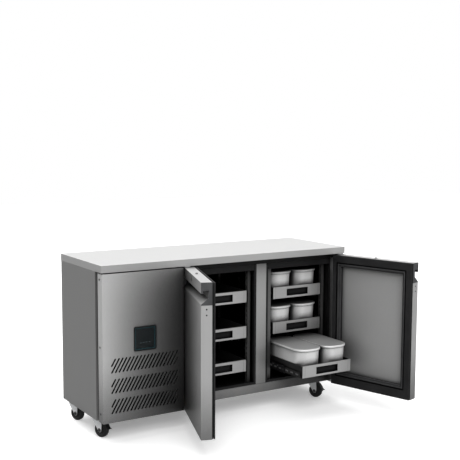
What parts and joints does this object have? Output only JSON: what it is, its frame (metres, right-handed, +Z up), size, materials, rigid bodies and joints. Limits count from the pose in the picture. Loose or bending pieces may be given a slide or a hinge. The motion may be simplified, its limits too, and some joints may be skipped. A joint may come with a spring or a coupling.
{
  "type": "undercounter refrigerator",
  "caption": "Low stainless refrigerated counter with hinged doors, a louvred service bay, telescopic trays holding lidded food pans, and swivel castors under a flat worktop.",
  "frame": {"origin": "floor level, at the centre of the plan box of the object standing with its doors open", "axes": "+X to the right along the front, +Y from the doors to the back, +Z up"},
  "size_m": [1.5556, 0.959, 0.855],
  "materials": {
    "top_steel": "fine brushed stainless, bright",
    "case_steel": "fine brushed stainless, satin",
    "door_steel": "fine brushed stainless, satin",
    "liner_steel": "satin stainless lining",
    "foam": "rigid polyurethane foam",
    "black_plastic": "moulded black plastic",
    "gasket_rubber": "soft ribbed magnetic gasket",
    "cap_plastic": "moulded dark grey end caps",
    "tray_steel": "folded stainless sheet",
    "zinc": "bright zinc plate",
    "pan_steel": "bright satin stainless",
    "panel_gloss": "gloss black with a thin dark teal frame",
    "black_paint": "black enamel",
    "aluminium": "plain fins",
    "copper": "copper tube",
    "grey_box": "zinc-coated sheet",
    "tyre": "black wheel with a solid tread"
  },
  "bodies": {
    "cabinet": {"worktop": "top_steel", "end_panels": "case_steel", "case_panels": "case_steel", "inner_liner": "liner_steel", "insulation_foam": "foam", "front_frame": "case_steel", "breaker_frame": "black_plastic", "racking_uprights": "liner_steel", "slide_fixed_members": "zinc", "unit_front_panel": "case_steel", "panel_screws": "zinc", "control_panel": "panel_gloss", "compressor": "black_paint", "condenser": "aluminium", "evaporator": "aluminium", "refrigerant_pipes": "copper", "electrical_box": "grey_box", "hinge_brackets": "zinc", "castor_plates": "zinc"},
    "door_left": {"door_left_skin": "door_steel", "door_left_inner_panel": "door_steel", "door_left_frame": "black_plastic", "door_left_gasket": "gasket_rubber", "door_left_end_caps": "cap_plastic"},
    "lock_left_barrel": {"lock_left_barrel": "zinc"},
    "lock_left_bolt": {"lock_left_bolt": "zinc"},
    "door_right": {"door_right_skin": "door_steel", "door_right_inner_panel": "door_steel", "door_right_frame": "black_plastic", "door_right_gasket": "gasket_rubber", "door_right_end_caps": "cap_plastic"},
    "lock_right_barrel": {"lock_right_barrel": "zinc"},
    "lock_right_bolt": {"lock_right_bolt": "zinc"},
    "tray_left_upper": {"tray_left_upper": "tray_steel"},
    "slides_left_upper": {"tray_left_upper_mid_slides": "zinc"},
    "tray_left_middle": {"tray_left_middle": "tray_steel"},
    "slides_left_middle": {"tray_left_middle_mid_slides": "zinc"},
    "tray_left_lower": {"tray_left_lower": "tray_steel"},
    "slides_left_lower": {"tray_left_lower_mid_slides": "zinc"},
    "tray_right_upper": {"tray_right_upper": "tray_steel", "pans_right_upper": "pan_steel"},
    "slides_right_upper": {"tray_right_upper_mid_slides": "zinc"},
    "tray_right_middle": {"tray_right_middle": "tray_steel", "pans_right_middle": "pan_steel"},
    "slides_right_middle": {"tray_right_middle_mid_slides": "zinc"},
    "tray_right_lower": {"tray_right_lower": "tray_steel", "pans_right_lower": "pan_steel"},
    "slides_right_lower": {"tray_right_lower_mid_slides": "zinc"},
    "lids_right_upper": {"lids_right_upper": "pan_steel"},
    "lids_right_middle": {"lids_right_middle": "pan_steel"},
    "lids_right_lower": {"lids_right_lower": "pan_steel"},
    "castor_front_left": {"castor_front_left_fork": "zinc"},
    "wheel_front_left": {"castor_front_left_wheel": "tyre"},
    "castor_front_right": {"castor_front_right_fork": "zinc"},
    "wheel_front_right": {"castor_front_right_wheel": "tyre"},
    "castor_rear_left": {"castor_rear_left_fork": "zinc"},
    "wheel_rear_left": {"castor_rear_left_wheel": "tyre"},
    "castor_rear_right": {"castor_rear_right_fork": "zinc"},
    "wheel_rear_right": {"castor_rear_right_wheel": "tyre"},
    "condenser_fan": {"condenser_fan_blades": "black_plastic"}
  },
  "joints": [
    {"name": "door_left_hinge", "type": "hinge", "parent": "cabinet", "child": "door_left", "pos_m": [-0.31985, -0.01151, 0.459], "axis": [0, 0, -1], "range_deg": [-109.66, 7]},
    {"name": "lock_left_turn", "type": "hinge", "parent": "door_left", "child": "lock_left_barrel", "pos_m": [-0.39966, -0.21768, 0.794], "axis": [0.9417, -0.3364, 0], "range_deg": [0, 90]},
    {"name": "lock_left_bolt_slide", "type": "slide", "parent": "door_left", "child": "lock_left_bolt", "axis": [0, 0, 1], "range_m": [0, 0.0078]},
    {"name": "door_right_hinge", "type": "hinge", "parent": "cabinet", "child": "door_right", "pos_m": [0.63015, -0.01151, 0.459], "axis": [0, 0, 1], "range_deg": [-106.48, 11.5]},
    {"name": "lock_right_turn", "type": "hinge", "parent": "door_right", "child": "lock_right_barrel", "pos_m": [0.70238, -0.23521, 0.794], "axis": [-0.9589, -0.2837, 0], "range_deg": [0, 90]},
    {"name": "lock_right_bolt_slide", "type": "slide", "parent": "door_right", "child": "lock_right_bolt", "axis": [0, 0, 1], "range_m": [0, 0.0078]},
    {"name": "tray_left_upper_slide", "type": "slide", "parent": "cabinet", "child": "tray_left_upper", "axis": [0, -1, 0], "range_m": [0, 0.33]},
    {"name": "slides_left_upper_travel", "type": "slide", "parent": "cabinet", "child": "slides_left_upper", "axis": [0, -1, 0], "range_m": [0, 0.165]},
    {"name": "tray_left_middle_slide", "type": "slide", "parent": "cabinet", "child": "tray_left_middle", "axis": [0, -1, 0], "range_m": [0, 0.33]},
    {"name": "slides_left_middle_travel", "type": "slide", "parent": "cabinet", "child": "slides_left_middle", "axis": [0, -1, 0], "range_m": [0, 0.165]},
    {"name": "tray_left_lower_slide", "type": "slide", "parent": "cabinet", "child": "tray_left_lower", "axis": [0, -1, 0], "range_m": [0, 0.33]},
    {"name": "slides_left_lower_travel", "type": "slide", "parent": "cabinet", "child": "slides_left_lower", "axis": [0, -1, 0], "range_m": [0, 0.165]},
    {"name": "tray_right_upper_slide", "type": "slide", "parent": "cabinet", "child": "tray_right_upper", "axis": [0, -1, 0], "range_m": [0, 0.33]},
    {"name": "slides_right_upper_travel", "type": "slide", "parent": "cabinet", "child": "slides_right_upper", "axis": [0, -1, 0], "range_m": [0, 0.165]},
    {"name": "tray_right_middle_slide", "type": "slide", "parent": "cabinet", "child": "tray_right_middle", "axis": [0, -1, 0], "range_m": [0, 0.33]},
    {"name": "slides_right_middle_travel", "type": "slide", "parent": "cabinet", "child": "slides_right_middle", "axis": [0, -1, 0], "range_m": [0, 0.165]},
    {"name": "tray_right_lower_slide", "type": "slide", "parent": "cabinet", "child": "tray_right_lower", "axis": [0, -1, 0], "range_m": [-0.2701, 0.06]},
    {"name": "slides_right_lower_travel", "type": "slide", "parent": "cabinet", "child": "slides_right_lower", "axis": [0, -1, 0], "range_m": [-0.13505, 0.03]},
    {"name": "lids_right_upper_lift", "type": "slide", "parent": "tray_right_upper", "child": "lids_right_upper", "axis": [0, 0, 1], "range_m": [0, 0.02]},
    {"name": "lids_right_middle_lift", "type": "slide", "parent": "tray_right_middle", "child": "lids_right_middle", "axis": [0, 0, 1], "range_m": [0, 0.02]},
    {"name": "lids_right_lower_lift", "type": "slide", "parent": "tray_right_lower", "child": "lids_right_lower", "axis": [0, 0, 1], "range_m": [0, 0.02]},
    {"name": "castor_front_left_swivel", "type": "hinge", "parent": "cabinet", "child": "castor_front_left", "pos_m": [-0.73585, 0.12249, 0.092], "axis": [0, 0, 1], "continuous": true},
    {"name": "wheel_front_left_roll", "type": "hinge", "parent": "castor_front_left", "child": "wheel_front_left", "pos_m": [-0.72661, 0.10252, 0.0375], "axis": [0.9075, 0.42, 0], "continuous": true},
    {"name": "castor_front_right_swivel", "type": "hinge", "parent": "cabinet", "child": "castor_front_right", "pos_m": [0.55615, 0.12249, 0.092], "axis": [0, 0, 1], "continuous": true},
    {"name": "wheel_front_right_roll", "type": "hinge", "parent": "castor_front_right", "child": "wheel_front_right", "pos_m": [0.56539, 0.10252, 0.0375], "axis": [0.9075, 0.42, 0], "continuous": true},
    {"name": "castor_rear_left_swivel", "type": "hinge", "parent": "cabinet", "child": "castor_rear_left", "pos_m": [-0.73585, 0.42749, 0.092], "axis": [0, 0, 1], "continuous": true},
    {"name": "wheel_rear_left_roll", "type": "hinge", "parent": "castor_rear_left", "child": "wheel_rear_left", "pos_m": [-0.72661, 0.40752, 0.0375], "axis": [0.9075, 0.42, 0], "continuous": true},
    {"name": "castor_rear_right_swivel", "type": "hinge", "parent": "cabinet", "child": "castor_rear_right", "pos_m": [0.55615, 0.42749, 0.092], "axis": [0, 0, 1], "continuous": true},
    {"name": "wheel_rear_right_roll", "type": "hinge", "parent": "castor_rear_right", "child": "wheel_rear_right", "pos_m": [0.56539, 0.40752, 0.0375], "axis": [0.9075, 0.42, 0], "continuous": true},
    {"name": "condenser_fan_spin", "type": "hinge", "parent": "cabinet", "child": "condenser_fan", "pos_m": [-0.56185, 0.11589, 0.275], "axis": [0, 1, 0], "continuous": true}
  ],
  "couplings": [
    {"joint": "lock_left_turn", "follows": "lock_left_bolt_slide", "rad_per_m": 200},
    {"joint": "lock_right_turn", "follows": "lock_right_bolt_slide", "rad_per_m": 200},
    {"joint": "slides_left_upper_travel", "follows": "tray_left_upper_slide", "ratio": 0.5},
    {"joint": "slides_left_middle_travel", "follows": "tray_left_middle_slide", "ratio": 0.5},
    {"joint": "slides_left_lower_travel", "follows": "tray_left_lower_slide", "ratio": 0.5},
    {"joint": "slides_right_upper_travel", "follows": "tray_right_upper_slide", "ratio": 0.5},
    {"joint": "slides_right_middle_travel", "follows": "tray_right_middle_slide", "ratio": 0.5},
    {"joint": "tray_right_lower_slide", "follows": "door_right_hinge", "m_per_rad": 0.14528},
    {"joint": "slides_right_lower_travel", "follows": "door_right_hinge", "m_per_rad": 0.072642}
  ]
}
